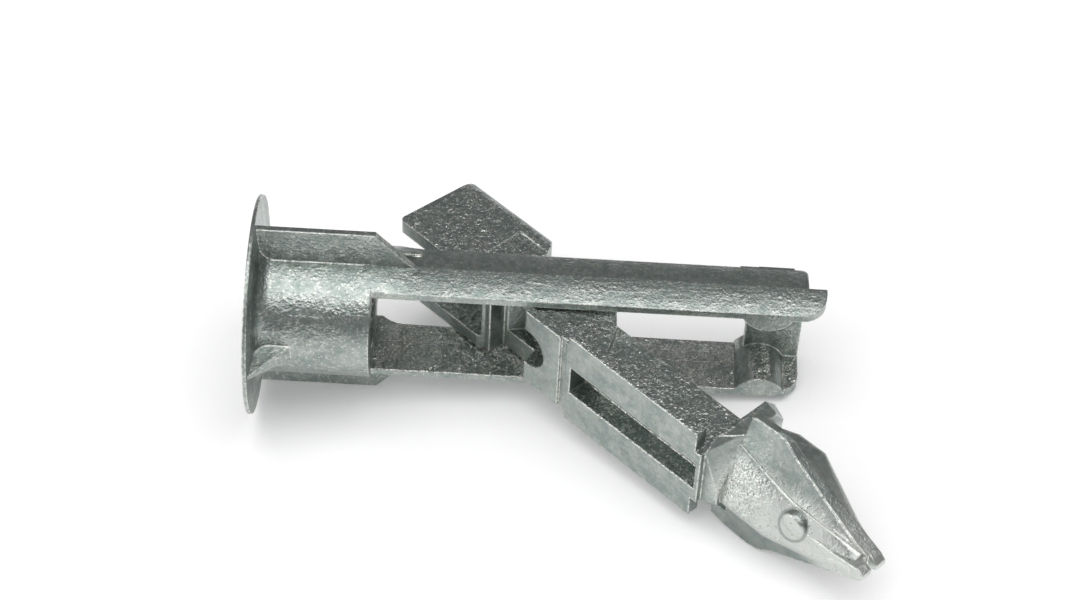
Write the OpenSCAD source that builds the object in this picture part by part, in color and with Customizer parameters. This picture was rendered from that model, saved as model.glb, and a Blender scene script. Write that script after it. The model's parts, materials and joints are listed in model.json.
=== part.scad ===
// Self-drilling toggle anchor for hollow walls, lying as it comes to rest.
//
// Two zinc die castings: the anchor body (flange, collar, fins, arms and end web)
// and the toggle (tail channel, hub, rail leg and drill head).
//
// Both are drawn in the anchor frame: +X runs from the flange's outer face to the tip,
// Y is the pivot axis and +Z is the side that the tail swings to. The toggle is drawn
// closed, then turned about its pivot. Last, the whole anchor is laid on its side.

/* [Flange and collar] */
// Radius of the wall flange
flange_r = 7.16; // [6:0.1:8.5]
// Thickness of the flange at its rim
rim_t = 0.25; // [0.2:0.05:0.6]
// Thickness of the flange where the fillet starts
flange_t = 0.45; // [0.35:0.05:0.9]
// Outer radius of the collar
collar_r = 4.3; // [4:0.1:5]
// Length of the collar from the flange's outer face
collar_len = 7.75; // [6.5:0.25:8.25]
// Radius of the fillet between flange and collar
flange_fillet = 1.0; // [0.5:0.1:1.4]
// Radius of the screw bore
bore_r = 2.45; // [2.3:0.05:2.6]

/* [Driver recess] */
// Reach of each wing of the cross recess
recess_reach = 3.5; // [3.0:0.1:3.7]
// Width of each wing of the cross recess
recess_w = 0.85; // [0.6:0.05:1.0]
// Depth of the cross recess
recess_depth = 3.5; // [2:0.25:5]

/* [Fins] */
// Radius reached by the two large fins
fin_r = 6.8; // [6:0.1:7]
// Thickness of the large fins
fin_t = 0.45; // [0.35:0.05:0.8]
// Length of the full-height part of the large fins
fin_len = 7.9; // [6.5:0.1:8.5]
// Length of the slope that ends each large fin
fin_slope = 2.8; // [2:0.1:3.5]
// Length of the two small gussets
gusset_len = 3.75; // [2.5:0.25:5]
// Width of the small gussets at their foot
gusset_w = 1.5; // [0.8:0.1:2]

/* [Arms] */
// Distance from the axis to the inner face of each arm
arm_in = 3.23; // [3.15:0.01:3.35]
// Distance from the axis to the parting ridge of each arm
arm_ridge = 4.15; // [4:0.05:4.3]
// Distance from the axis to the outer edge of each arm
arm_edge = 3.7; // [3.55:0.05:3.85]
// Half height of the arms
arm_half_h = 2.15; // [2:0.05:2.2]
// Distance from the flange's outer face to the arm ends
arm_end = 35.75; // [34:0.25:35.75]
// Extra length of the lower half of the one long arm
arm_extra = 1.15; // [0:0.05:1.2]
// Radius of the rounded lower corner at the arm ends
arm_corner = 1.7; // [1:0.1:1.8]
// Length that the collar's wall runs on above each arm
root_wall = 1.1; // [0.5:0.1:1.5]
// Radius of the fillet from the collar's wall to the arms
root_fillet = 1.9; // [1:0.1:2.2]

/* [End web] */
// Length of the web that joins the arm ends
web_len = 3.6; // [3:0.1:4.2]
// Height of the underside of the web above the axis
web_z = 1.2; // [1.15:0.05:1.5]
// Radius of the hollow rounding on the web's inner edge
web_round = 0.7; // [0.5:0.1:1.2]
// Radius of the two pads beside the web
pad_r = 1.8; // [1.5:0.1:2]
// Distance from the axis to the face of the pads
pad_in = 2.25; // [2.25:0.05:2.6]

/* [Pivot] */
// Distance from the flange's outer face to the pivot
pivot_x = 20.26; // [20.26:0.02:20.6]
// Height of the pivot above the axis
pivot_z = 0.4; // [0.2:0.05:0.5]
// Radius of the pivot stubs
stub_r = 1.1; // [0.8:0.05:1.2]
// Radial running clearance between stub and hole
pivot_gap = 0.06; // [0.03:0.01:0.09]
// Distance from the axis to the end of each pivot stub
stub_in = 2.2; // [2.2:0.05:2.6]
// Depth left beyond the end of each stub in its hole
stub_end_gap = 0.15; // [0.1:0.05:0.2]
// Radius of the hub around the pivot
hub_r = 2.2; // [1.9:0.1:2.4]

/* [Toggle body] */
// Side clearance between the toggle and each arm
side_gap = 0.18; // [0.15:0.01:0.25]
// Depth of the toggle below the axis
toggle_low = 3.4; // [3:0.1:3.6]
// Height of the tail above the axis
tail_top = 3.1; // [3:0.1:3.5]
// Length of the tail from the pivot
tail_len = 11.25; // [10:0.25:11.5]
// Thickness of the tail's cheeks
cheek_t = 1.0; // [0.8:0.05:1.1]
// Radius along the two upper edges of the tail
tail_edge_r = 1.4; // [0.8:0.1:1.6]
// Distance from the pivot to the tail's inner end
tail_root = 3.5; // [3:0.1:3.7]

/* [Leg] */
// Half width of the leg's beam
beam_half_w = 2.1; // [1.9:0.05:2.1]
// Height of the beam above the axis
beam_top = 0.75; // [0.5:0.05:0.85]
// Half width of the leg across its rails
rail_half_w = 3.65; // [3.3:0.05:3.8]
// Thickness of the rails
rail_t = 0.85; // [0.6:0.05:0.95]
// Half width of the slot between the rails
slot_half_w = 1.12; // [0.8:0.05:1.3]
// Depth of the slot
slot_depth = 1.5; // [1:0.1:2]
// Distance from the pivot to the start of the rails
rail_start = 4.0; // [3.8:0.1:4.5]
// Radius of the hole that takes the screw when the toggle is open
screw_hole_r = 1.45; // [1.3:0.05:1.5]

/* [Drill head] */
// Clearance between the closed head and the arm ends
head_gap = 0.17; // [0.15:0.01:0.3]
// Length of the block between the leg and the blades
base_len = 1.2; // [1:0.1:2]
// Height of the head's block above the axis
base_top = 3.3; // [2.6:0.1:3.4]
// Depth of the drill axis below the anchor axis
drill_drop = 0.75; // [0.5:0.05:0.9]
// Half width across the two blades
blade_half_w = 4.45; // [4.2:0.05:4.6]
// Thickness of each blade
blade_t = 1.05; // [0.9:0.05:1.2]
// Length of the blades before they taper
blade_land = 4.1; // [3:0.1:4.5]
// Length of the head from its base to the tip
head_len = 12.1; // [10:0.1:14]
// Half width of each prong at the tip
prong_half_w = 0.45; // [0.35:0.05:0.7]
// Width of the notch between the two prongs
notch_w = 0.5; // [0.3:0.05:0.6]
// Depth of the lower bulge below the drill axis
lower_rise = 1.85; // [1.5:0.05:2.2]
// Height of the upper bulge above the drill axis
upper_rise = 3.6; // [3:0.1:3.7]
// Distance from the drill axis to the crest of each bulge
bulge_side = 1.5; // [1.3:0.1:1.7]
// Distance from the drill axis to the foot of each bulge
bulge_foot = 2.45; // [2.2:0.05:2.7]
// Distance from the drill axis to the crease at the root of each flute
flute_root = 1.1; // [0.8:0.1:1.3]
// Radius of the round ejector button
button_r = 0.95; // [0.7:0.05:1.1]

/* [Pose] */
// Angle that the toggle stands open at rest
open_angle = 44; // [30:1:60]

/* [Hidden] */
$fn = 64;
hull_fn = 32;
arc_steps = 6;
// Overlap of joined solids, and the reach of cuts past the faces they go through.
eps = 0.01;
over = 1;

// Toggle frame: origin on the anchor axis when closed, +X to the tip, +Z to the ridge.
pivot_back = -pivot_z * (1 - cos(open_angle)) / sin(open_angle);
toggle_half_w = arm_in - side_gap;
tail_u0 = pivot_back - tail_len;
tail_u1 = pivot_back - tail_root;
head_u = arm_end + head_gap - (pivot_x - pivot_back);
tip_u = head_u + head_len;
rail_u = pivot_back + rail_start;
screw_u = pivot_back + pivot_z;
blade_land_u = head_u + blade_land;
blade_corner = 0.9;
crest_r = 0.6;

// How the anchor lies: on its side, touching at a fin, an arm end and a blade corner.
fin_touch = [fin_len, fin_r, fin_t / 2];
arm_touch = [arm_end, arm_ridge, 0];
blade_reach = [blade_land_u - blade_corner - pivot_back, blade_half_w, -drill_drop - pivot_z];
blade_touch = [
    pivot_x + blade_reach[0] * cos(open_angle) + blade_reach[2] * sin(open_angle),
    blade_reach[1],
    pivot_z - blade_reach[0] * sin(open_angle) + blade_reach[2] * cos(open_angle)
];
ground_dir = cross(arm_touch - fin_touch, fin_touch - blade_touch);
lie_roll = -atan(ground_dir[2] / ground_dir[1]);
lie_pitch = atan(ground_dir[0] / ground_dir[1] * cos(lie_roll));

// Points of an arc about a centre, from one angle to another.
function arc(centre, r, from, to) =
    [for (i = [0 : arc_steps])
        let (a = from + (to - from) * i / arc_steps)
        [centre[0] + r * cos(a), centre[1] + r * sin(a)]];

// Extrudes an outline drawn in (y, z) along x.
module along_x(from, len) {
    translate([from, 0, 0])
        rotate([90, 0, 90])
            linear_extrude(height = len)
                children();
}

// Extrudes an outline drawn in (x, z) across y, from one side to the other.
module across_y(from, len) {
    translate([0, from + len, 0])
        rotate([90, 0, 0])
            linear_extrude(height = len)
                children();
}

// Extrudes an outline drawn in (x, y) up z.
module up_z(from, len) {
    translate([0, 0, from])
        linear_extrude(height = len)
            children();
}

// Turns an outline of (radius, x) points about the anchor axis.
module around_x(outline) {
    rotate([90, 0, 90])
        rotate_extrude()
            polygon(outline);
}

// ---- anchor body ----

module flange_and_collar() {
    fillet_centre = [collar_r + flange_fillet, flange_t + flange_fillet];
    around_x(concat(
        [[0, 0], [flange_r, 0], [flange_r, rim_t]],
        arc(fillet_centre, flange_fillet, 270, 180),
        [[collar_r, collar_len], [0, collar_len]]
    ));
}

module large_fins() {
    for (side = [0, 1])
        mirror([0, side, 0])
            up_z(-fin_t / 2, fin_t)
                polygon([
                    [rim_t, 0],
                    [rim_t, fin_r],
                    [fin_len, fin_r],
                    [fin_len + fin_slope, collar_r - fin_t],
                    [fin_len + fin_slope, arm_in],
                    [collar_len - eps, arm_in],
                    [collar_len - eps, 0]
                ]);
}

module small_gussets() {
    foot_z = collar_r - over;
    for (side = [0, 1])
        mirror([0, 0, side])
            hull() {
                translate([rim_t, -gusset_w / 2, foot_z])
                    cube([gusset_len - rim_t, gusset_w, eps]);
                translate([rim_t, -fin_t / 4, foot_z])
                    cube([eps, fin_t / 2, fin_r - foot_z]);
            }
}

// Section of one arm: flat inside, two shallow arcs that meet in the parting ridge.
module arm_section() {
    rise = arm_ridge - arm_edge;
    bow = 0.08;
    outer = [for (i = [-arc_steps : arc_steps])
        let (t = abs(i) / arc_steps)
        [arm_ridge - rise * t + 4 * bow * t * (1 - t), arm_half_h * i / arc_steps]];
    polygon(concat([[arm_in, arm_half_h], [arm_in, -arm_half_h]], outer));
}

// Side outline of an arm in (x, z): square above, rounded below, one half longer.
module arm_side(extra) {
    end = arm_end + extra;
    top_corner = 0.5;
    corner_centre = [end - arm_corner, arm_corner - arm_half_h];
    top_centre = [arm_end - top_corner, arm_half_h - top_corner];
    polygon(concat(
        [[collar_len - over, -arm_half_h]],
        arc(corner_centre, arm_corner, -90, 0),
        [[end, 0], [arm_end, 0]],
        arc(top_centre, top_corner, 0, 90),
        [[collar_len - over, arm_half_h]]
    ));
}

module arm(extra) {
    intersection() {
        along_x(collar_len - over, arm_end + arm_extra - collar_len + 2 * over)
            arm_section();
        across_y(arm_in - eps, collar_r)
            arm_side(extra);
    }
}

module root_fillet_side(inner, wall_end) {
    centre = [wall_end + root_fillet, arm_half_h + root_fillet];
    across_y(inner, collar_r)
        polygon(concat(
            [[collar_len - over, arm_half_h - over], [collar_len - over, collar_r]],
            [[wall_end, collar_r]],
            arc(centre, root_fillet, 180, 270),
            [[wall_end + root_fillet, arm_half_h - over]]
        ));
}

// Fillets where the collar's wall runs out into the upper edges of the arms.
module root_fillets() {
    inner = toggle_half_w + side_gap / 2;
    far_end = collar_len + root_wall + root_fillet;
    intersection() {
        around_x([[0, collar_len - over], [collar_r, collar_len - over],
            [collar_r, far_end], [0, far_end]]);
        union() {
            root_fillet_side(arm_in, collar_len);
            mirror([0, 1, 0])
                root_fillet_side(inner, collar_len + root_wall);
        }
    }
}

module end_web() {
    start = arm_end - web_len;
    difference() {
        translate([start - web_round / 2, -arm_in - eps, web_z])
            cube([web_len + web_round / 2, 2 * (arm_in + eps), arm_half_h - web_z]);
        up_z(web_z - over, arm_half_h)
            hull() {
                for (side = [-1, 1])
                    translate([start - web_round, side * (arm_in - web_round)])
                        circle(r = web_round, $fn = hull_fn);
                translate([start - web_len, -arm_in])
                    square([eps, 2 * arm_in]);
            }
    }
}

// Low raised patch across the top of the web.
module web_patch() {
    patch_rise = 0.15;
    patch_len = 2.3;
    patch_start = 0.45;
    translate([arm_end - web_len + patch_start, -arm_edge, arm_half_h - eps])
        cube([patch_len, 2 * arm_edge, patch_rise + eps]);
}

// Round pads on the inner faces of the arms, standing just proud of their upper edges.
module end_pads() {
    pad_lead = 0.8;
    pad_rise = 0.1;
    pad_h = 2 * arm_half_h + pad_rise;
    pad_x = arm_end - web_len - pad_lead + pad_r;
    for (side = [-1, 1])
        intersection() {
            translate([pad_x, side * (pad_in + pad_r), -arm_half_h])
                cylinder(r = pad_r, h = pad_h);
            translate([pad_x - pad_r, side > 0 ? pad_in : -arm_edge, -arm_half_h])
                cube([2 * pad_r, arm_edge - pad_in, pad_h]);
        }
}

module pivot_stubs() {
    rooted = 0.3;
    for (side = [0, 1])
        mirror([0, side, 0])
            translate([pivot_x, arm_in + rooted, pivot_z])
                rotate([90, 0, 0])
                    cylinder(r = stub_r, h = arm_in + rooted - stub_in);
}

module screw_way() {
    translate([-over, 0, 0])
        rotate([0, 90, 0])
            cylinder(r = bore_r, h = collar_len + 2 * over);
}

module driver_recess() {
    for (turn = [0, 90])
        rotate([turn, 0, 0])
            translate([-over, -recess_reach, -recess_w / 2])
                cube([recess_depth + over, 2 * recess_reach, recess_w]);
}

module anchor_body_closed() {
    difference() {
        union() {
            flange_and_collar();
            large_fins();
            small_gussets();
            arm(0);
            mirror([0, 1, 0])
                arm(arm_extra);
            root_fillets();
            end_web();
            web_patch();
            end_pads();
            pivot_stubs();
        }
        screw_way();
        driver_recess();
    }
}

// ---- toggle, in its own frame ----

// Cheek outline in (x, z): the tail, the round hub and the slope down to the beam.
module cheek_side() {
    corner = 0.4;
    tail_rake = 0.45;
    tail_drop = 0.25;
    tail_step = 0.5;
    nose = 2.2;
    root_top = 1.0;
    root_run = 1.0;
    toe_run = 2.4;
    hub_u0 = tail_u1 + 0.6;
    step_u1 = tail_u1 - 0.1;
    slope_u0 = rail_u - 0.1;
    polygon(concat(
        arc([tail_u0 + corner - tail_rake, corner - toggle_low - tail_drop], corner, 170, 270),
        [[step_u1 - tail_step, -toggle_low - tail_drop], [step_u1, -toggle_low]],
        [[rail_u, -toggle_low], [rail_u + toe_run, -toggle_low + rail_t]],
        [[slope_u0 + root_run, 0], [slope_u0, root_top]],
        [[0, root_top], [hub_u0, root_top]],
        arc([hub_u0 - nose, tail_top - nose], nose, 0, 90),
        [[tail_u0, tail_top]]
    ));
    translate([pivot_back, pivot_z])
        circle(r = hub_r);
}

// Cross-section of the tail channel in (y, z): open below, round along the upper edges.
module tail_section() {
    r = tail_edge_r;
    half = toggle_half_w;
    polygon(concat(
        [[-half, -toggle_low - over], [-half, tail_top - r]],
        arc([r - half, tail_top - r], r, 180, 90),
        arc([half - r, tail_top - r], r, 90, 0),
        [[half, tail_top - r], [half, -toggle_low - over]]
    ));
}

// Space between the cheeks: its roof slopes down to lead the screw under the tail.
module channel_space() {
    inner = toggle_half_w - cheek_t;
    roof_t = 0.9;
    roof_flat = 4;
    roof_low = 0.6;
    wall_u = tail_u1 - 0.35;
    across_y(-inner, 2 * inner)
        polygon([
            [tail_u0 - over, -toggle_low - over],
            [tail_u0 - over, tail_top - roof_t],
            [tail_u0 + roof_flat, tail_top - roof_t],
            [wall_u, roof_low],
            [wall_u, -toggle_low - over]
        ]);
}

module tail_and_hub() {
    difference() {
        intersection() {
            across_y(-toggle_half_w, 2 * toggle_half_w)
                cheek_side();
            along_x(tail_u0 - over, head_u + over - tail_u0)
                tail_section();
        }
        channel_space();
    }
}

// Step across the hub's underside, between the tail's ridge and the leg's root.
module hub_recess() {
    recess_u0 = tail_u1 + 0.25;
    recess_u1 = 0.1;
    draft_in = 0.25;
    draft_out = 0.35;
    across_y(-toggle_half_w - over, 2 * (toggle_half_w + over))
        polygon([
            [recess_u0, -toggle_low - over],
            [recess_u0 + draft_in, -hub_r],
            [recess_u1 - draft_out, -hub_r],
            [recess_u1, -toggle_low - over]
        ]);
}

// Shallow groove across the leg's root, just before the rails.
module root_groove() {
    groove_depth = 0.18;
    groove_w = 0.55;
    groove_land = 0.2;
    translate([rail_u - groove_land - groove_w, -toggle_half_w - over, -toggle_low - over])
        cube([groove_w, 2 * (toggle_half_w + over), groove_depth + over]);
}

// Beam from the hub to the head, with a rail along each side of its lower face.
module leg() {
    rail_end_gap = 0.49;
    translate([0, -beam_half_w, -toggle_low])
        cube([head_u + eps, 2 * beam_half_w, toggle_low + beam_top]);
    translate([rail_u, -rail_half_w, -toggle_low])
        cube([head_u - rail_end_gap - rail_u, 2 * rail_half_w, rail_t]);
}

// Slot along the beam's lower face, between the rails.
module rail_slot() {
    end_wall = 0.3;
    translate([rail_u + end_wall, -slot_half_w, -toggle_low - over])
        cube([head_u - rail_u - 2 * end_wall, 2 * slot_half_w, slot_depth + over]);
}

module pivot_holes() {
    depth = stub_in - stub_end_gap;
    for (side = [0, 1])
        mirror([0, side, 0])
            translate([pivot_back, toggle_half_w + over, pivot_z])
                rotate([90, 0, 0])
                    cylinder(r = stub_r + pivot_gap, h = toggle_half_w + over - depth);
}

// Hole through the hub, with a funnel that leads the screw in from the tail.
module screw_hole() {
    funnel_u = tail_u1 + 0.75;
    funnel_lip = 0.1;
    funnel_top = 0.6;
    funnel_top_run = 1.1;
    translate([screw_u, 0, -toggle_low - over])
        cylinder(r = screw_hole_r, h = toggle_low + tail_top + 2 * over);
    across_y(-screw_hole_r, 2 * screw_hole_r)
        polygon([
            [funnel_u, -toggle_low - over],
            [funnel_u, -hub_r - funnel_lip],
            [screw_u - funnel_top_run, funnel_top],
            [screw_u, funnel_top],
            [screw_u, -toggle_low - over]
        ]);
}

// Shallow step in the outer face of each cheek, where the tail meets the hub.
module cheek_steps() {
    step_depth = 0.08;
    step_len = 2.3;
    step_past_root = 0.2;
    step_top = tail_top - tail_edge_r - 0.2;
    for (side = [0, 1])
        mirror([0, side, 0])
            translate([tail_u1 + step_past_root - step_len, toggle_half_w - step_depth, -toggle_low - over])
                cube([step_len, over, toggle_low + over + step_top]);
}

// Outline of one blade in (x, y), out to one side of the drill axis.
module blade_outline() {
    heel_lead = 0.05;
    heel_step = 0.35;
    heel_draft = 0.1;
    corner_drop = 0.2;
    taper_drop = 0.85;
    tip_bevel = 0.35;
    tip_share = 0.3;
    prong_len = 2.5;
    prong_bevel = 0.5;
    polygon([
        [head_u, 0],
        [head_u, toggle_half_w],
        [head_u + heel_lead, blade_half_w - heel_step],
        [head_u + base_len, blade_half_w - heel_draft],
        [blade_land_u - blade_corner, blade_half_w],
        [blade_land_u, blade_half_w - corner_drop],
        [blade_land_u + blade_corner, blade_half_w - taper_drop],
        [tip_u - tip_bevel, prong_half_w],
        [tip_u, prong_half_w * tip_share],
        [tip_u, -prong_half_w / 2],
        [tip_u - prong_bevel, -prong_half_w],
        [tip_u - prong_len, -prong_half_w / 2]
    ]);
}

// Wedge that thins a blade towards its edge from the flute side.
module flute_slope() {
    edge_drop = 0.55;
    along_x(head_u - over, head_len + 2 * over)
        polygon([
            [flute_root, 0],
            [blade_half_w, -edge_drop],
            [blade_half_w + over, -edge_drop],
            [blade_half_w + over, over],
            [flute_root, over]
        ]);
}

// Section of a bulge in (y, z): steep towards the blade's edge, sloped towards the flute.
module bulge_section(at, rise, side, foot, root) {
    foot_top = 0.1;
    flute_angle = 225;
    edge_angle = 345;
    along_x(at, eps)
        polygon(concat(
            [[-root, 0]],
            arc([side, crest_r - rise], crest_r, flute_angle, edge_angle),
            [[foot, foot_top - blade_t], [foot, 0]]
        ));
}

// Full-sized section, its root spread beyond the flute's crease.
module full_section(at, rise, spread) {
    bulge_section(at, rise, bulge_side, bulge_foot, flute_root + spread);
}

// Slender section where a bulge has thinned out, before the tip.
module neck_section(at, rise) {
    rise_share = 0.28;
    side_in = 0.8;
    foot_in = 1.05;
    root = 0.2;
    bulge_section(at, rise * rise_share + crest_r, bulge_side - side_in, bulge_foot - foot_in, root);
}

// Last section, where both bulges have become one pointed core.
module core_section(at) {
    rise = 1.15;
    side = 0.1;
    foot = 0.75;
    root = 0.35;
    bulge_section(at, rise, side, foot, root);
}

// Bulge along one blade: full from first to last, then falling to the neck and the tip.
module bulge(rise, start) {
    sunk = 0.3;
    first = head_u + 2.7;
    last = head_u + 4.8;
    neck = tip_u - 2.7;
    tip_back = 1.0;
    spread = [0.6, 0.2, -0.1];
    hull() {
        full_section(head_u + base_len - sunk, rise * start, spread[0]);
        full_section(first, rise, spread[1]);
        full_section(last, rise, spread[2]);
        neck_section(neck, rise);
    }
    hull() {
        neck_section(neck - eps, rise);
        core_section(tip_u - tip_back);
    }
}

// One blade with its bulge. The bulge begins at a share of its rise.
module half_head(rise, start) {
    difference() {
        up_z(-blade_t, blade_t)
            blade_outline();
        flute_slope();
    }
    bulge(rise, start);
}

// Block that joins the leg to the blades: square at the leg, following the flutes outside.
module head_base() {
    low_step = 0.4;
    low_rake = 0.15;
    side_rake = 0.25;
    low_bevel = 0.9;
    top_bevel = 1.0;
    wide_bevel = 1.5;
    flank = -0.5;
    shoulder = -1.7;
    crease = [-1.6, -1.2];
    belly_from = 0.9;
    belly_to = 1.7;
    low = low_step - toggle_low;
    side = toggle_half_w;
    wide = side + side_rake;
    hull() {
        along_x(head_u, eps)
            polygon([
                [-side, low + low_bevel],
                [low_bevel - side, low],
                [side - low_bevel, low],
                [side, low + low_bevel],
                [side, base_top - top_bevel],
                [side - top_bevel, base_top],
                [top_bevel - side, base_top],
                [-side, base_top - top_bevel]
            ]);
        along_x(head_u + base_len, eps)
            polygon([
                [-wide, flank],
                crease,
                [belly_from, low + low_rake],
                [belly_to, low + low_rake],
                [wide, shoulder],
                [wide, base_top - 2 * top_bevel],
                [side - top_bevel, base_top - top_bevel],
                [top_bevel - side, base_top - top_bevel / 2],
                [-wide, base_top - wide_bevel]
            ]);
    }
}

// Ejector button on the sloped side of the lower bulge.
module ejector_button() {
    button_u = head_u + 6.55;
    button_side = -0.15;
    button_round = 0.3;
    button_len = 1.3;
    button_dome = 0.1;
    translate([button_u, button_side, -drill_drop])
        rotate([180, 0, 0])
            rotate_extrude()
                polygon(concat(
                    [[0, 0], [button_r, 0]],
                    arc([button_r - button_round, button_len - button_round], button_round, 0, 90),
                    [[0, button_len + button_dome]]
                ));
}

module drill_head() {
    head_base();
    lower_start = 0.95;
    upper_start = 0.8;
    translate([0, 0, -drill_drop]) {
        half_head(lower_rise, lower_start);
        rotate([180, 0, 0])
            half_head(upper_rise, upper_start);
    }
    ejector_button();
}

// Notch between the two prongs at the tip.
module tip_notch() {
    notch_depth = 0.7;
    reach = blade_half_w;
    translate([tip_u - notch_depth, -reach, -drill_drop - notch_w / 2])
        cube([notch_depth + over, 2 * reach, notch_w]);
}

// Step in one side of the head that clears the longer half of the one arm as it swings.
module arm_notch() {
    low = -arm_half_h - side_gap;
    reach = blade_half_w + over;
    translate([head_u - over, -reach, low])
        cube([arm_extra + head_gap + over, reach - toggle_half_w, tail_top + over - low]);
}

module toggle_closed() {
    difference() {
        union() {
            tail_and_hub();
            leg();
            drill_head();
        }
        rail_slot();
        hub_recess();
        root_groove();
        pivot_holes();
        screw_hole();
        cheek_steps();
        arm_notch();
        tip_notch();
    }
}

// ---- placing ----

module open_toggle() {
    translate([pivot_x, 0, pivot_z])
        rotate([0, open_angle, 0])
            translate([-pivot_back, 0, -pivot_z])
                children();
}

module lie_down() {
    rotate([lie_roll, lie_pitch, 0])
        rotate([-90, 0, 0])
            children();
}

module anchor_body() {
    color("darkgray")
        lie_down()
            anchor_body_closed();
}

module toggle() {
    color("silver")
        lie_down()
            open_toggle()
                toggle_closed();
}

anchor_body();
toggle();
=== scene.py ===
import json
import math

import bmesh
import bpy
from mathutils import Matrix, Vector


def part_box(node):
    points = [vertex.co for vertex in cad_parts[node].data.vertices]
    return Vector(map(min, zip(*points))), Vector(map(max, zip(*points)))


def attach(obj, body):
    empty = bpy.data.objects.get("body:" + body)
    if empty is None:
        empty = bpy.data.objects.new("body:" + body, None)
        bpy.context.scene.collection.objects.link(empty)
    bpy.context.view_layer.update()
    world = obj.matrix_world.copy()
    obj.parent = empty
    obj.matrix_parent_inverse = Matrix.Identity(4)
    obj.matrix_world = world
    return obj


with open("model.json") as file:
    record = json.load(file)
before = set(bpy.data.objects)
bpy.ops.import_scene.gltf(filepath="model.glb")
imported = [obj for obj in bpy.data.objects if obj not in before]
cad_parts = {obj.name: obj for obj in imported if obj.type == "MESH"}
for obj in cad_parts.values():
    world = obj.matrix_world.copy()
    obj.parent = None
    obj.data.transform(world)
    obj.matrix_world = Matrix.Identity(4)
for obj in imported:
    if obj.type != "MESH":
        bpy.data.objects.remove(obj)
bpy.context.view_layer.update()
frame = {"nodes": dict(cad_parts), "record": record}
nodes = frame["nodes"]

# ---- axes of the two castings, from the record ----

MM = 0.001

hinge = frame["record"]["behaviour"]["joints"][0]
bore = frame["record"]["mounts"][0]
pivot = Vector(hinge["pos_m"])
along = -Vector(bore["axis"]).normalized()
across = Vector(hinge["axis"]).normalized()
rise = along.cross(across).normalized()
open_angle = -math.radians(hinge["range_deg"][0])
tip_dir = along * math.cos(open_angle) - rise * math.sin(open_angle)
ridge_dir = along * math.sin(open_angle) + rise * math.cos(open_angle)

# Distances in millimetres, along the axes of each casting. The toggle's start at its pivot.
ARM_INNER = 3.23
ARM_RIDGE = 4.15
ARM_EDGE = 3.7
ARM_HALF_HEIGHT = 2.15
COLLAR_RADIUS = 4.3
COLLAR_END = 7.75
HEAD_START = 15.66
DRILL_AXIS = -1.15

# The ejector button: its place from the head's start, its side and its radius.
BUTTON_PLACE = 6.55
BUTTON_SIDE = -0.15
BUTTON_RADIUS = 0.95

# ---- shader helpers ----

# The share of a soft line's half width that is full.
LINE_CORE = 0.4


class Shader:
    """A material's node tree, with short calls for the nodes that the castings need."""

    def __init__(self, name):
        self.material = bpy.data.materials.new(name)
        self.material.use_nodes = True
        self.tree = self.material.node_tree
        self.bsdf = self.tree.nodes["Principled BSDF"]

    def node(self, kind, **settings):
        made = self.tree.nodes.new(kind)
        for key, value in settings.items():
            setattr(made, key, value)
        return made

    def plug(self, socket, value):
        """Links an output to the socket, or sets the socket's own value."""
        if isinstance(value, bpy.types.NodeSocket):
            self.tree.links.new(value, socket)
        else:
            socket.default_value = value

    def math(self, operation, *values):
        made = self.node("ShaderNodeMath", operation=operation)
        for socket, value in zip(made.inputs, values):
            self.plug(socket, value)
        return made.outputs[0]

    def times(self, first, *others):
        """The product of all the values."""
        for other in others:
            first = self.math("MULTIPLY", first, other)
        return first

    def most(self, first, *others):
        """The greatest of the values."""
        for other in others:
            first = self.math("MAXIMUM", first, other)
        return first

    def dot(self, vector, axis):
        made = self.node("ShaderNodeVectorMath", operation="DOT_PRODUCT")
        self.plug(made.inputs[0], vector)
        self.plug(made.inputs[1], axis)
        return made.outputs["Value"]

    def smooth(self, value, low, high, start=0.0, end=1.0):
        """Goes from start to end as the value goes from low to high."""
        made = self.node("ShaderNodeMapRange", interpolation_type="SMOOTHSTEP")
        for socket, part in zip(made.inputs, (value, low, high, start, end)):
            self.plug(socket, part)
        return made.outputs[0]

    def between(self, value, low, high, soft):
        """1 from low to high and 0 outside, with soft ends."""
        rising = self.smooth(value, low - soft, low + soft)
        falling = self.smooth(value, high - soft, high + soft, 1.0, 0.0)
        return self.times(rising, falling)

    def line_at(self, value, centre, half_width):
        """A line where the value passes the centre, full in its middle and soft at its sides."""
        offset = self.math("ABSOLUTE", self.math("SUBTRACT", value, centre))
        return self.smooth(offset, half_width * LINE_CORE, half_width, 1.0, 0.0)

    def noise(self, vector, scale, detail=2.0, roughness=0.5, distortion=0.0):
        made = self.node("ShaderNodeTexNoise", noise_dimensions="3D")
        self.plug(made.inputs["Vector"], vector)
        made.inputs["Scale"].default_value = scale
        made.inputs["Detail"].default_value = detail
        made.inputs["Roughness"].default_value = roughness
        made.inputs["Distortion"].default_value = distortion
        return made.outputs["Fac"]

    def stretched(self, vector, scale):
        made = self.node("ShaderNodeMapping")
        self.plug(made.inputs["Vector"], vector)
        made.inputs["Scale"].default_value = scale
        return made.outputs[0]

    def mix(self, factor, first, second):
        """Goes from the first colour to the second as the factor goes from 0 to 1."""
        made = self.node("ShaderNodeMix", data_type="RGBA")
        self.plug(made.inputs[0], factor)
        self.plug(made.inputs[6], first)
        self.plug(made.inputs[7], second)
        return made.outputs[2]


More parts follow.
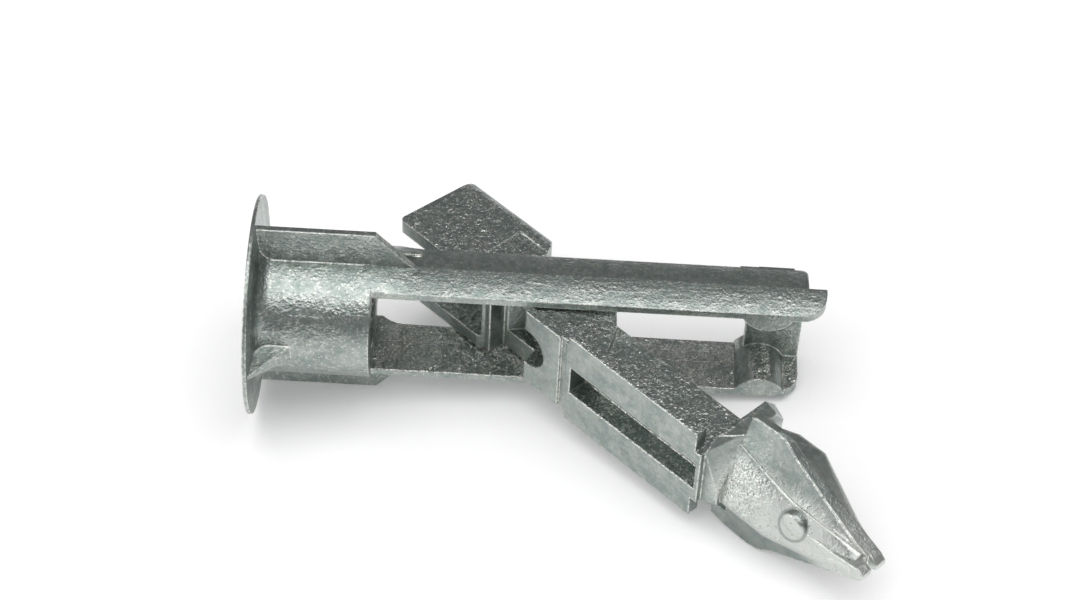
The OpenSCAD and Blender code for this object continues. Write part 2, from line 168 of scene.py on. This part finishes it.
def casting_axes(shader, origin, x_axis, y_axis, z_axis):
    """A point in millimetres along a casting's own axes, its parts, and how far a face looks
    along y, from 0 to 1."""
    coords = shader.node("ShaderNodeTexCoord")
    local = shader.node("ShaderNodeVectorMath", operation="SUBTRACT")
    shader.plug(local.inputs[0], coords.outputs["Object"])
    shader.plug(local.inputs[1], origin)
    place = [shader.dot(local.outputs[0], axis / MM) for axis in (x_axis, y_axis, z_axis)]
    sideways = shader.math("ABSOLUTE", shader.dot(coords.outputs["Normal"], y_axis))
    joined = shader.node("ShaderNodeCombineXYZ")
    for socket, value in zip(joined.inputs, place):
        shader.plug(socket, value)
    return joined.outputs[0], place, sideways


# ---- the skin of the castings ----

# Colours.
DARK = (0.275, 0.325, 0.308, 1.0)
LIGHT = (0.425, 0.455, 0.433, 1.0)
PALE = (0.68, 0.70, 0.67, 1.0)
BRIGHT = (0.93, 0.93, 0.88, 1.0)
# The darkest tone, for pits and for painted shade.
PIT_AND_SHADE_TONE = (0.17, 0.20, 0.19, 1.0)

# Noises: cells in a millimetre, detail, roughness and distortion, as far as they are given.
CLOUD = (0.5, 4.0, 0.6)
MOTTLE = (1.7, 3.0, 0.6)
PEEL = (3.4, 2.0, 0.6)
GRAIN = (7.0, 1.5)
DRAG = (4.5, 2.0, 0.6)

# The drag lines run along the casting.
DRAG_STRETCH = (0.07, 1.0, 1.0)

# Masks: the range of the value, then that of the mask where it isn't 0 to 1.
TONE = (0.36, 0.64)
SPECK_IN_GRAIN = (0.51, 0.62)
SPECK_IN_PEEL = (0.38, 0.62)
SPECK_BY_SPARKLE = (0.0, 1.0, 0.09, 0.72)
PIT_IN_GRAIN = (0.40, 0.28)
PIT_IN_MOTTLE = (0.45, 0.6)
SAND_IN_GRAIN = (0.50, 0.38)
WORN_LIT_EDGE_BY_BEND = (0.985, 0.86)
WORN_LIT_EDGE_IN_PEEL = (0.30, 0.55)
COARSE_BY_SPARKLE = (0.0, 1.0, 0.5, 1.8)
COARSE_IN_CLOUD = (0.40, 0.60, 0.5, 1.1)
ROUGHNESS_IN_CLOUD = (0.35, 0.65, 0.44, 0.33)

# The clouds' share of the tone, how strong the dark pits and the painted shade are,
# and how strong the worn edges with their painted highlights are.
CLOUD_SHARE = 0.5
PIT_AND_SHADE_STRENGTH = 0.6
WORN_LIT_EDGE_STRENGTH = 0.9

# How much smoother than the rest the bright lines and the sparkling skin are.
BRIGHT_GLOSS = 0.12
SPARKLE_GLOSS = 0.06

# Heights of the relief, in shares of its depth.
GRAIN_HEIGHT = 0.30
DRAG_HEIGHT = 0.18
MARK_HEIGHT = 2.0
RELIEF_DEPTH = 0.06 * MM

# The worn edges, painted bright as highlights.
EDGE_RADIUS = 0.18 * MM
EDGE_SAMPLES = 6


def zinc_skin(shader, point, sparkle, paleness, painted_shade, highlit_marks):
    """Die-cast zinc: grey-green mottled skin, bright specks, drag lines, and worn edges painted
    bright as highlights.

    sparkle says where the skin is coarse and glittering; the next argument says where it is
    paler, which on the toggle's flank is a painted highlight;
    the next says where painted shade darkens it; and the last is a mask of raised lines, painted
    bright as highlights.
    """
    cloud = shader.noise(point, *CLOUD)
    mottle = shader.noise(point, *MOTTLE)
    peel = shader.noise(point, *PEEL)
    grain = shader.noise(point, *GRAIN)
    drag = shader.noise(shader.stretched(point, DRAG_STRETCH), *DRAG)

    rest = shader.times(mottle, 1 - CLOUD_SHARE)
    tone = shader.math("MULTIPLY_ADD", cloud, CLOUD_SHARE, rest)
    skin = shader.mix(shader.smooth(tone, *TONE), DARK, LIGHT)
    skin = shader.mix(paleness, skin, PALE)

    speck = shader.times(
        shader.smooth(grain, *SPECK_IN_GRAIN),
        shader.smooth(peel, *SPECK_IN_PEEL),
        shader.smooth(sparkle, *SPECK_BY_SPARKLE))
    skin = shader.mix(speck, skin, BRIGHT)
    pit = shader.times(shader.smooth(grain, *PIT_IN_GRAIN), shader.smooth(mottle, *PIT_IN_MOTTLE))
    sand = shader.times(paleness, sparkle, shader.smooth(grain, *SAND_IN_GRAIN))
    # Dark pits and sand in the skin, and painted shade where it is asked for.
    pits_and_shade = shader.times(shader.most(pit, sand, painted_shade), PIT_AND_SHADE_STRENGTH)
    skin = shader.mix(pits_and_shade, skin, PIT_AND_SHADE_TONE)

    edge = shader.node("ShaderNodeBevel", samples=EDGE_SAMPLES)
    edge.inputs["Radius"].default_value = EDGE_RADIUS
    geometry = shader.node("ShaderNodeNewGeometry")
    bend = shader.dot(edge.outputs[0], geometry.outputs["Normal"])
    # Edges worn and painted bright as highlights.
    worn_lit_edges = shader.times(
        shader.smooth(bend, *WORN_LIT_EDGE_BY_BEND), shader.smooth(peel, *WORN_LIT_EDGE_IN_PEEL))
    skin = shader.mix(shader.times(worn_lit_edges, WORN_LIT_EDGE_STRENGTH), skin, BRIGHT)
    # Raised lines painted bright as highlights.
    skin = shader.mix(highlit_marks, skin, BRIGHT)
    shader.plug(shader.bsdf.inputs["Base Color"], skin)

    gloss = shader.times(shader.most(worn_lit_edges, highlit_marks), -BRIGHT_GLOSS)
    rough = shader.math("ADD", shader.smooth(cloud, *ROUGHNESS_IN_CLOUD), gloss)
    rough = shader.math("MULTIPLY_ADD", sparkle, -SPARKLE_GLOSS, rough)
    shader.plug(shader.bsdf.inputs["Roughness"], rough)
    shader.bsdf.inputs["Metallic"].default_value = 1.0

    coarse = shader.times(
        peel, shader.smooth(sparkle, *COARSE_BY_SPARKLE), shader.smooth(cloud, *COARSE_IN_CLOUD))
    height = shader.math("MULTIPLY_ADD", grain, GRAIN_HEIGHT, coarse)
    height = shader.math("MULTIPLY_ADD", drag, DRAG_HEIGHT, height)
    height = shader.math("MULTIPLY_ADD", highlit_marks, MARK_HEIGHT, height)
    bump = shader.node("ShaderNodeBump")
    bump.inputs["Strength"].default_value = 1.0
    bump.inputs["Distance"].default_value = RELIEF_DEPTH
    shader.plug(bump.inputs["Height"], height)
    shader.plug(bump.inputs["Normal"], edge.outputs[0])
    shader.plug(shader.bsdf.inputs["Normal"], bump.outputs[0])
    return shader.material


# ---- the anchor body's skin ----

# An arm's inner face: how far its faces look sideways, where it starts, and its margin.
ARM_FACING = (0.9, 0.98)
ARM_FACE_START = (COLLAR_END, COLLAR_END + 0.2)
ARM_FACE_MARGIN = 0.05

# Parting lines along the inner faces: height, half width, start and end. Their ends are soft.
PARTING_LINES = [(0.6, 0.07, 7.9, 13.4), (0.25, 0.06, 19.5, 31.0)]
PARTING_END = 0.15

# Their height wanders by this much, in waves of this noise.
WANDER = 0.5
WANDER_NOISE = 0.8

# Wriggly flow lines, in patches. Each line: the value in its middle, and its half width.
FLOW_NOISE = (1.5, 2.0, 0.5, 1.2)
FLOW_LINE = (0.5, 0.05)
FLOW_PATCHES = 0.9
FLOW_IN_PATCHES = (0.40, 0.50)

# Both kinds of line fade here and there.
FADE_NOISE = 4.0
LINES_IN_FADE = (0.35, 0.5, 0.25, 0.9)

# Some of the inner faces' skin is paler, and the collar sparkles more than the arms' outsides.
PALE_PATCHES = 1.3
PALE_IN_PATCHES = (0.35, 0.65, 0.2, 1.0)
COLLAR_SPARKLE = (COLLAR_END + 2, COLLAR_END, 0.35, 0.5)


def body_material():
    """Anchor body: parting lines and wriggly flow marks on the arms' inner faces, painted bright
    as highlights.
    """
    shader = Shader("zinc_body")
    point, (x, y, z), sideways = casting_axes(shader, Vector((0, 0, 0)), along, across, rise)
    inner = shader.times(
        shader.smooth(sideways, *ARM_FACING),
        shader.smooth(x, *ARM_FACE_START),
        shader.math("LESS_THAN", shader.math("ABSOLUTE", y), ARM_INNER + ARM_FACE_MARGIN))

    wander = shader.math("MULTIPLY_ADD", shader.noise(point, WANDER_NOISE), WANDER, -WANDER / 2)
    height = shader.math("ADD", z, wander)
    parting = shader.most(*(
        shader.times(
            shader.line_at(height, level, half_width),
            shader.between(x, start, end, PARTING_END))
        for level, half_width, start, end in PARTING_LINES))
    flow = shader.times(
        shader.line_at(shader.noise(point, *FLOW_NOISE), *FLOW_LINE),
        shader.smooth(shader.noise(point, FLOW_PATCHES), *FLOW_IN_PATCHES))
    # The raised lines are painted bright as highlights.
    highlit_marks = shader.times(
        shader.most(parting, flow),
        inner,
        shader.smooth(shader.noise(point, FADE_NOISE), *LINES_IN_FADE))

    sparkle = shader.most(inner, shader.smooth(x, *COLLAR_SPARKLE))
    patches = shader.smooth(shader.noise(point, PALE_PATCHES), *PALE_IN_PATCHES)
    paleness = shader.times(inner, patches)
    return zinc_skin(shader, point, sparkle, paleness, 0.0, highlit_marks)


# ---- the toggle's skin ----

# The sides of the leg and tail, crinkled in patches, and where the head takes over.
SIDE_FACING = (0.80, 0.95)
SIDES_END = (HEAD_START, HEAD_START + 0.4, 1.0, 0.0)
CRINKLE_NOISE = (2.2, 2.0, 0.5, 0.8)
CRINKLE_LINE = (0.5, 0.03)
CRINKLE_PATCHES = 1.1
CRINKLE_IN_PATCHES = (0.46, 0.56, 0.0, 0.55)

# The sandy patch on the flank of the head: from, to and softness.
SANDY_LENGTH = (HEAD_START + 1.0, HEAD_START + 4.0, 0.8)
FLANK_WIDTH = (-1.8, 1.5, 0.6)
SANDY_STRENGTH = 0.8

# The head is a little paler than the rest, and its flank much paler, as a painted highlight.
HEAD_FADE = (HEAD_START, HEAD_START + 1.5)
HEAD_PALER = 0.06
FLANK_PAINTED_HIGHLIGHT = 0.75

# Painted shade: the lower blade is painted darker, and a fine dark line of painted shade runs
# round the ejector button.
BLADE_WIDTH = (1.7, 2.4)
BLADE_LENGTH = (HEAD_START + 1, HEAD_START + 2)
RIM_LINE = (BUTTON_RADIUS + 0.03, 0.13)
RIM_BELOW = DRILL_AXIS - 0.4
PAINTED_SHADE_STRENGTH = 0.9


def toggle_material():
    """Toggle: crinkled sides with lines painted bright as highlights, smooth rails, a flank
    painted pale as a highlight with a sandy patch, and painted shade on the blade.
    """
    shader = Shader("zinc_toggle")
    point, (x, y, z), sideways = casting_axes(shader, pivot, tip_dir, across, ridge_dir)
    sides = shader.times(shader.smooth(sideways, *SIDE_FACING), shader.smooth(x, *SIDES_END))
    flank = shader.between(y, *FLANK_WIDTH)
    sandy = shader.times(shader.between(x, *SANDY_LENGTH), flank, SANDY_STRENGTH)
    sparkle = shader.most(sides, sandy)

    # The crinkle lines are painted bright as highlights.
    highlit_marks = shader.times(
        shader.line_at(shader.noise(point, *CRINKLE_NOISE), *CRINKLE_LINE),
        shader.smooth(shader.noise(point, CRINKLE_PATCHES), *CRINKLE_IN_PATCHES),
        sparkle)
    # The flank's paleness is a painted highlight.
    paler = shader.math("MULTIPLY_ADD", flank, FLANK_PAINTED_HIGHLIGHT, HEAD_PALER)
    paleness = shader.times(paler, shader.smooth(x, *HEAD_FADE))

    # Painted shade on the lower blade.
    blade = shader.times(shader.smooth(y, *BLADE_WIDTH), shader.smooth(x, *BLADE_LENGTH))
    from_button = [
        shader.math("SUBTRACT", x, HEAD_START + BUTTON_PLACE),
        shader.math("SUBTRACT", y, BUTTON_SIDE),
    ]
    squares = [shader.times(value, value) for value in from_button]
    distance = shader.math("SQRT", shader.math("ADD", *squares))
    # A line of painted shade round the lower side of the ejector button.
    rim = shader.times(
        shader.line_at(distance, *RIM_LINE), shader.math("LESS_THAN", z, RIM_BELOW))
    painted_shade = shader.times(shader.most(blade, rim), PAINTED_SHADE_STRENGTH)
    return zinc_skin(shader, point, sparkle, paleness, painted_shade, highlit_marks)


# ---- lofted forms ----

SHARP_ANGLE = math.radians(40)
LOFT_STEPS = 24
RING_STEPS = 12


def paint(obj, material):
    """Gives the object this one material."""
    obj.data.materials.clear()
    obj.data.materials.append(material)


def from_axes(origin, x_axis, y_axis, z_axis):
    """Returns a function that places a point given in millimetres along a casting's axes."""
    return lambda x, y, z: origin + (x_axis * x + y_axis * y + z_axis * z) * MM


def loft(name, first, last, ring, place, material, body):
    """A closed solid through rings from first to last, smooth where it bends gently."""
    mesh = bmesh.new()
    stops = [first + (last - first) * i / LOFT_STEPS for i in range(LOFT_STEPS + 1)]
    loops = [[mesh.verts.new(place(*point)) for point in ring(at)] for at in stops]
    for here, there in zip(loops, loops[1:]):
        for i in range(len(here)):
            j = (i + 1) % len(here)
            mesh.faces.new((here[i], here[j], there[j], there[i]))
    mesh.faces.new(loops[0][::-1])
    mesh.faces.new(loops[-1])
    bmesh.ops.recalc_face_normals(mesh, faces=mesh.faces)
    for face in mesh.faces:
        face.smooth = True
    for edge in mesh.edges:
        edge.smooth = edge.calc_face_angle(0.0) < SHARP_ANGLE
    data = bpy.data.meshes.new(name)
    mesh.to_mesh(data)
    mesh.free()
    made = bpy.data.objects.new(name, data)
    bpy.context.scene.collection.objects.link(made)
    paint(made, material)
    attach(made, body)


def values_at(stations, x):
    """What the stations say at x beside their place, on a line between its neighbours."""
    for low, high in zip(stations, stations[1:]):
        if x <= high[0]:
            t = (x - low[0]) / (high[0] - low[0])
            return [a + (b - a) * t for a, b in zip(low[1:], high[1:])]
    return list(stations[-1][1:])


# ---- the drill head's full flank and its slanted flute ----

# Places start at the head's start. Heights run down from the drill axis. Sides run toward -y for
# the crease and the border, and toward +y for the crest.

# The crease between flank and flute: place, side and height.
CREASE = [
    (0.5, 2.62, 0.20),
    (0.9, 2.56, 0.30),
    (2.2, 2.26, 0.40),
    (3.6, 1.91, 0.50),
    (5.9, 1.27, 0.55),
    (8.7, 1.12, 0.48),
    (10.0, 0.90, 0.32),
    (11.1, 0.62, 0.06),
]

# The flank's crest: place, side and height.
CREST = [
    (0.1, 1.50, 1.52),
    (1.0, 1.50, 1.79),
    (2.7, 1.50, 1.87),
    (4.8, 1.50, 1.87),
    (9.4, 0.70, 1.14),
    (11.1, 0.12, 1.14),
]
FLANK_FULLNESS = 0.35

# The flank starts this far inside the crease, and its hidden back has three points: one behind
# the crest, one near the drill axis and one behind the crease.
FLANK_SINK = 0.02
FLANK_TOP = (0.1, 0.4)
FLANK_CORE = (0.2, -0.1)
FLANK_FOOT = (0.06, 0.12)

# The flute's outer border, just inside the cutting edge: place, side and lift off the blade.
FLUTE_BORDER = [
    (1.1, 4.28, 0.01),
    (3.5, 4.38, 0.01),
    (4.1, 4.16, 0.01),
    (5.0, 3.54, 0.01),
    (9.0, 1.66, 0.01),
    (11.0, 0.74, 0.00),
]
FLUTE_SAG = 0.06

# The flute's hidden back: a point behind the crease, and how deep it lies under the border.
FLUTE_FOOT = (0.1, 0.15)
FLUTE_DEPTH = 0.1

# The slope of the blade's underside in the solids, and where it starts.
BLADE_SLOPE_START = 1.1
BLADE_SLOPE = 0.55 / 3.35


def flank_ring(at):
    """One section of the flank: convex from the crease up to the crest, and closed inside."""
    root, low = values_at(CREASE, at)
    side, crest = values_at(CREST, at)
    ring = [(at, FLANK_FOOT[0] - root, FLANK_FOOT[1] - low)]
    for i in range(RING_STEPS + 1):
        turn = i / RING_STEPS * math.pi / 2
        y = side - (side + root) * math.cos(turn)
        share = (y + root) / (side + root)
        height = FLANK_FULLNESS * math.sin(turn) + (1 - FLANK_FULLNESS) * share
        ring.append((at, y, FLANK_SINK - low - (crest - low + FLANK_SINK) * height))
    ring.append((at, side + FLANK_TOP[0], FLANK_TOP[1] - crest))
    ring.append((at, *FLANK_CORE))
    return ring


def flute_ring(at):
    """One section of the flute: slightly hollow from the crease out to the cutting edge."""
    root, low = values_at(CREASE, at)
    border, lift = values_at(FLUTE_BORDER, at)
    edge = max(0.0, BLADE_SLOPE * (border - BLADE_SLOPE_START)) - lift
    ring = [(at, FLUTE_FOOT[0] - root, FLUTE_FOOT[1])]
    for i in range(RING_STEPS + 1):
        t = i / RING_STEPS
        hollow = FLUTE_SAG * math.sin(t * math.pi)
        ring.append((at, -root - (border - root) * t, -low + (edge + low) * t + hollow))
    ring.append((at, -border, edge + FLUTE_DEPTH))
    return ring


def add_head_lofts(material):
    origin = pivot + (tip_dir * HEAD_START + ridge_dir * DRILL_AXIS) * MM
    place = from_axes(origin, tip_dir, across, ridge_dir)
    loft("head_flank", CREST[0][0], CREST[-1][0], flank_ring, place, material, "toggle")
    loft("head_flute", FLUTE_BORDER[0][0], FLUTE_BORDER[-1][0], flute_ring, place, material,
         "toggle")


# ---- the blends at the arms' roots ----

ROOT_START = 7.0
ROOT_END = 11.5

# How far a blend stays inside the arm's edges, and its hidden back from the inner face.
ROOT_MARGIN = 0.01
ROOT_DEPTH = 0.1

# How far it stands over the collar's end, how far it sinks at its borders, and how fast.
ROOT_LIFT = 0.015
ROOT_SINK = 3 * ROOT_LIFT
ROOT_SINK_POWER = 6


def ease(t):
    """Goes from 0 to 1 with t, level at both ends."""
    return t * t * (3 - 2 * t)


def root_ring(at, side):
    """One section of the blend from the round collar to the ridged arm, sunk at its borders."""
    share = ease(min(1.0, max(0.0, (at - COLLAR_END) / (ROOT_END - COLLAR_END))))
    half = ARM_HALF_HEIGHT - ROOT_MARGIN
    inside = side * (ARM_INNER + ROOT_DEPTH)
    border = ROOT_START if at < COLLAR_END else ROOT_END
    reach = (at - COLLAR_END) / (border - COLLAR_END)
    ring = [(at, inside, -half)]
    for i in range(2 * RING_STEPS + 1):
        z = half * (i / RING_STEPS - 1)
        collar = math.sqrt(COLLAR_RADIUS ** 2 - z ** 2)
        arm = ARM_RIDGE - (ARM_RIDGE - ARM_EDGE) * abs(z) / ARM_HALF_HEIGHT
        lift = ROOT_LIFT - ROOT_SINK * max(reach, abs(z) / half) ** ROOT_SINK_POWER
        ring.append((at, side * (collar + (arm - collar) * share + lift), z))
    ring.append((at, inside, half))
    return ring


def add_arm_roots(material):
    place = from_axes(Vector((0, 0, 0)), along, across, rise)
    loft("near_arm_root", ROOT_START, ROOT_END, lambda at: root_ring(at, -1), place, material,
         "anchor_body")
    loft("far_arm_root", ROOT_START, ROOT_END, lambda at: root_ring(at, 1), place, material,
         "anchor_body")


zinc_body = body_material()
zinc_toggle = toggle_material()
paint(nodes["anchor_body"], zinc_body)
paint(nodes["toggle"], zinc_toggle)
add_head_lofts(zinc_toggle)
add_arm_roots(zinc_body)

# ---- camera, at the photograph's angle ----

# The lens and sensor in millimetres, the range in metres, and the place and directions along
# the anchor body's axes.
CAMERA_LENS = 92.18
CAMERA_SENSOR = 36.0
CAMERA_RANGE = (0.001, 10.0)
CAMERA_PLACE = Vector((18.35, -126.04, -127.32)) * MM
CAMERA_RIGHT = Vector((0.99844, -0.03995, 0.03899))
CAMERA_DOWN = Vector((0.05582, 0.71457, -0.69733))
CAMERA_AWAY = Vector((0.0, 0.69842, 0.71569))

lay = Matrix((along, across, rise)).transposed()
right = lay @ CAMERA_RIGHT
up = -(lay @ CAMERA_DOWN)
toward = -(lay @ CAMERA_AWAY)


def add_camera():
    data = bpy.data.cameras.new("camera")
    data.lens = CAMERA_LENS
    data.sensor_width = CAMERA_SENSOR
    data.clip_start, data.clip_end = CAMERA_RANGE
    camera = bpy.data.objects.new("camera", data)
    bpy.context.scene.collection.objects.link(camera)
    turn = Matrix((right, up, toward)).transposed().to_4x4()
    camera.matrix_world = Matrix.Translation(lay @ CAMERA_PLACE) @ turn
    bpy.context.scene.camera = camera


# ---- floor, lamps and world ----

# The anchor's middle. Lengths from here on are in metres.
MIDDLE = Vector((0.02, 0.0, -0.001))
FLOOR_SIZE = 4.0
FLOOR_COLOUR = (0.92, 0.92, 0.92, 1.0)
FLOOR_ROUGHNESS = 0.9
WHITE = (1.0, 1.0, 1.0, 1.0)
FLOOR_GLOW = 0.14

# Each lamp: name, direction from the anchor along the camera's axes, distance, size, radiance.
LAMPS = [
    ("key", toward * 0.839 + up * 0.545, 0.35, (0.42, 0.36), 2.0),
    ("side", toward * 0.30 - right * 0.94 + up * 0.05, 0.40, (0.30, 0.26), 1.9),
]

# The strength of the room, and the lower one that the metal mirrors.
ROOM = 0.55
MIRRORED_ROOM = 0.28


def add_floor():
    """A white floor that takes the shadow, with a glow that only camera, glossy and
    transmission rays see."""
    low = min(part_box(name)[0][2] for name in nodes)
    bpy.ops.mesh.primitive_plane_add(size=FLOOR_SIZE, location=(MIDDLE.x, MIDDLE.y, low))
    floor = bpy.context.object
    floor.name = "floor"
    shader = Shader("floor_white")
    shader.bsdf.inputs["Base Color"].default_value = FLOOR_COLOUR
    shader.bsdf.inputs["Roughness"].default_value = FLOOR_ROUGHNESS
    shader.bsdf.inputs["Emission Color"].default_value = WHITE
    path = shader.node("ShaderNodeLightPath").outputs
    seen = shader.most(
        path["Is Camera Ray"], path["Is Glossy Ray"], path["Is Transmission Ray"])
    shader.plug(shader.bsdf.inputs["Emission Strength"], shader.times(seen, FLOOR_GLOW))
    paint(floor, shader.material)


def add_softbox(name, direction, distance, size, radiance):
    """A rectangular lamp that faces the anchor, with the radiance that its face has."""
    data = bpy.data.lights.new(name, "AREA")
    data.shape = "RECTANGLE"
    data.size, data.size_y = size
    data.energy = radiance * math.pi * size[0] * size[1]
    lamp = bpy.data.objects.new(name, data)
    bpy.context.scene.collection.objects.link(lamp)
    direction = direction.normalized()
    side = (right - direction * right.dot(direction)).normalized()
    turn = Matrix((side, direction.cross(side), direction)).transposed().to_4x4()
    lamp.matrix_world = Matrix.Translation(MIDDLE + direction * distance) @ turn


def add_world():
    """A plain white room, dimmer where the metal mirrors it."""
    world = bpy.data.worlds.new("studio")
    bpy.context.scene.world = world
    world.use_nodes = True
    tree = world.node_tree
    for part in list(tree.nodes):
        tree.nodes.remove(part)
    plain = tree.nodes.new("ShaderNodeBackground")
    plain.inputs["Strength"].default_value = ROOM
    mirrored = tree.nodes.new("ShaderNodeBackground")
    mirrored.inputs["Strength"].default_value = MIRRORED_ROOM
    path = tree.nodes.new("ShaderNodeLightPath")
    mixed = tree.nodes.new("ShaderNodeMixShader")
    out = tree.nodes.new("ShaderNodeOutputWorld")
    tree.links.new(path.outputs["Is Glossy Ray"], mixed.inputs[0])
    tree.links.new(plain.outputs[0], mixed.inputs[1])
    tree.links.new(mirrored.outputs[0], mixed.inputs[2])
    tree.links.new(mixed.outputs[0], out.inputs["Surface"])


add_camera()
add_floor()
for lamp_values in LAMPS:
    add_softbox(*lamp_values)
add_world()

scene = bpy.context.scene
scene.view_settings.view_transform = "Standard"
